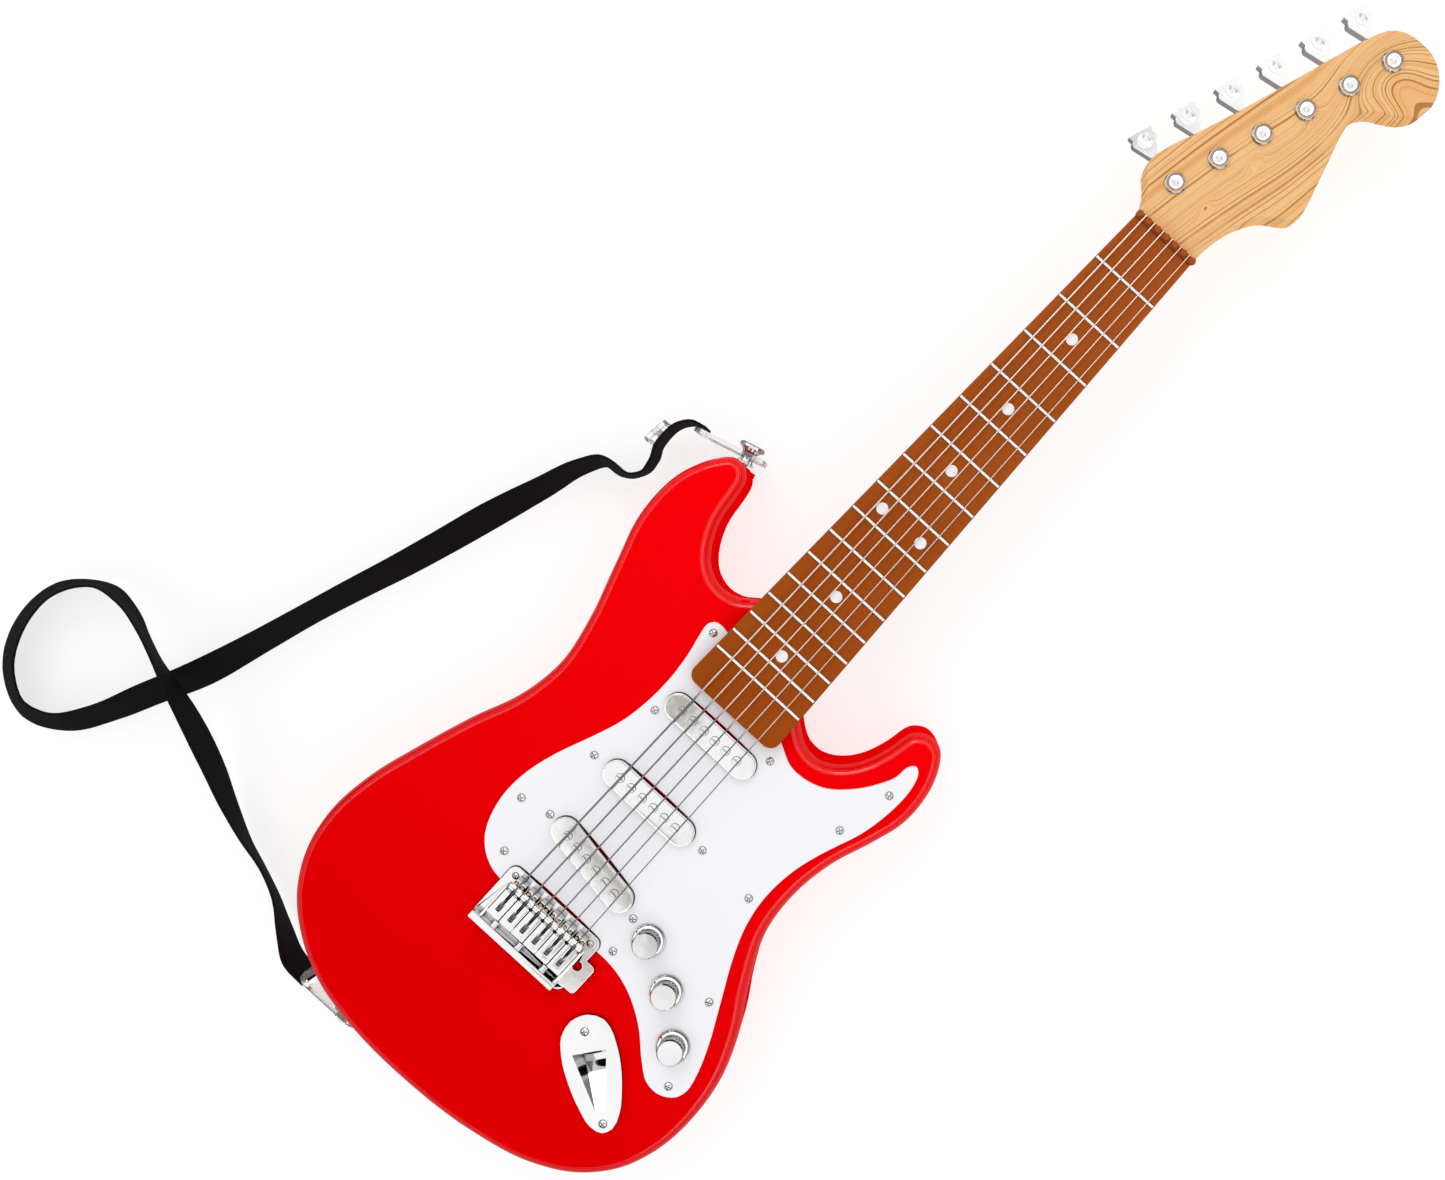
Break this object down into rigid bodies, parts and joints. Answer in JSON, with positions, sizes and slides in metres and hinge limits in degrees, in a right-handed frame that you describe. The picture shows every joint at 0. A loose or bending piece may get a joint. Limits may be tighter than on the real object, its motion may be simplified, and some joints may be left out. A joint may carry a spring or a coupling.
{
  "type": "toy electric guitar",
  "caption": "Red toy electric guitar with a pale pickguard, chrome-look pickups, knobs and bridge, brown neck, tan headstock and a black webbing strap.",
  "frame": {"origin": "on the flat back, on the neck's centre line, directly below the bridge saddles", "axes": "+Y along the neck to the headstock, +X to the thin-string side, +Z out of the face"},
  "size_m": [0.3958, 0.6666, 0.0488],
  "materials": {
    "red_plastic": "high gloss moulded",
    "white_plastic": "gloss",
    "brown_plastic": "satin moulded brown",
    "printed_plastic": "wood-grain print under gloss lacquer",
    "chrome_plating": "plated plastic, mirror bright",
    "steel": "bright nickel",
    "brass_screw": "dull",
    "black_plastic": "matte",
    "paper": "doped paper cone",
    "board_laminate": "green solder resist",
    "battery_can": "printed sleeve",
    "webbing": "ribbed polyester webbing",
    "clear_plastic": "translucent",
    "wire_sleeve": "satin"
  },
  "bodies": {
    "guitar": {"body_front_shell": "red_plastic", "body_back_shell": "red_plastic", "pickguard": "white_plastic", "pickguard_screws": "steel", "neck_back": "brown_plastic", "fretboard": "brown_plastic", "frets": "steel", "fret_markers": "white_plastic", "nut": "brown_plastic", "strings": "steel", "neck_screws": "steel", "headstock_face": "printed_plastic", "headstock_back": "printed_plastic", "headstock_screws": "steel", "tuner_posts": "chrome_plating", "pickup_cover_neck": "chrome_plating", "pickup_cover_middle": "chrome_plating", "pickup_cover_bridge": "chrome_plating", "pickup_poles": "chrome_plating", "pickup_screws": "steel", "bridge_plate": "chrome_plating", "bridge_saddles": "chrome_plating", "saddle_screws": "brass_screw", "bridge_screws": "steel", "jack_plate": "chrome_plating", "jack_socket": "black_plastic", "jack_plate_screws": "steel", "potentiometers": "steel", "strap_button_horn": "chrome_plating", "strap_button_tail": "chrome_plating", "strap_button_screws": "steel", "strap_tab_horn": "clear_plastic", "strap_tab_tail": "clear_plastic", "strap_slider": "clear_plastic", "strap_webbing": "webbing", "speaker_frame": "steel", "speaker_cone": "paper", "circuit_board": "board_laminate", "board_components": "black_plastic", "battery_cells": "battery_can", "battery_contacts": "steel", "power_switch_housing": "black_plastic", "body_screws": "steel", "wiring": "wire_sleeve"},
    "knob_volume": {"knob_volume": "chrome_plating"},
    "knob_tone_1": {"knob_tone_1": "chrome_plating"},
    "knob_tone_2": {"knob_tone_2": "chrome_plating"},
    "battery_cover": {"battery_cover": "red_plastic", "battery_cover_screw": "steel"},
    "power_switch": {"power_switch_slider": "black_plastic"},
    "tuner_peg_1": {"tuner_peg_1": "chrome_plating"},
    "tuner_peg_2": {"tuner_peg_2": "chrome_plating"},
    "tuner_peg_3": {"tuner_peg_3": "chrome_plating"},
    "tuner_peg_4": {"tuner_peg_4": "chrome_plating"},
    "tuner_peg_5": {"tuner_peg_5": "chrome_plating"},
    "tuner_peg_6": {"tuner_peg_6": "chrome_plating"}
  },
  "joints": [
    {"name": "knob_volume_turn", "type": "hinge", "parent": "guitar", "child": "knob_volume", "pos_m": [0.0418, 0.0233, 0.0396], "axis": [0, 0, 1], "range_deg": [-140, 140]},
    {"name": "knob_tone_1_turn", "type": "hinge", "parent": "guitar", "child": "knob_tone_1", "pos_m": [0.0631, 0.012, 0.0396], "axis": [0, 0, 1], "range_deg": [-140, 140]},
    {"name": "knob_tone_2_turn", "type": "hinge", "parent": "guitar", "child": "knob_tone_2", "pos_m": [0.0819, -0.0042, 0.0396], "axis": [0, 0, 1], "range_deg": [-140, 140]},
    {"name": "tuner_peg_1_turn", "type": "hinge", "parent": "guitar", "child": "tuner_peg_1", "pos_m": [-0.0133, 0.433, 0.0325], "axis": [-0.9489, 0.3156, 0], "continuous": true},
    {"name": "tuner_peg_2_turn", "type": "hinge", "parent": "guitar", "child": "tuner_peg_2", "pos_m": [-0.00626, 0.45416, 0.0325], "axis": [-0.9489, 0.3156, 0], "continuous": true},
    {"name": "tuner_peg_3_turn", "type": "hinge", "parent": "guitar", "child": "tuner_peg_3", "pos_m": [0.00078, 0.47532, 0.0325], "axis": [-0.9489, 0.3156, 0], "continuous": true},
    {"name": "tuner_peg_4_turn", "type": "hinge", "parent": "guitar", "child": "tuner_peg_4", "pos_m": [0.00782, 0.49648, 0.0325], "axis": [-0.9489, 0.3156, 0], "continuous": true},
    {"name": "tuner_peg_5_turn", "type": "hinge", "parent": "guitar", "child": "tuner_peg_5", "pos_m": [0.01486, 0.51764, 0.0325], "axis": [-0.9489, 0.3156, 0], "continuous": true},
    {"name": "tuner_peg_6_turn", "type": "hinge", "parent": "guitar", "child": "tuner_peg_6", "pos_m": [0.0219, 0.5388, 0.0325], "axis": [-0.9489, 0.3156, 0], "continuous": true},
    {"name": "battery_cover_lift", "type": "slide", "parent": "guitar", "child": "battery_cover", "axis": [0, 0, -1], "range_m": [0, 0.03]},
    {"name": "power_switch_slide", "type": "slide", "parent": "guitar", "child": "power_switch", "axis": [1, 0, 0], "range_m": [0, 0.004]}
  ]
}
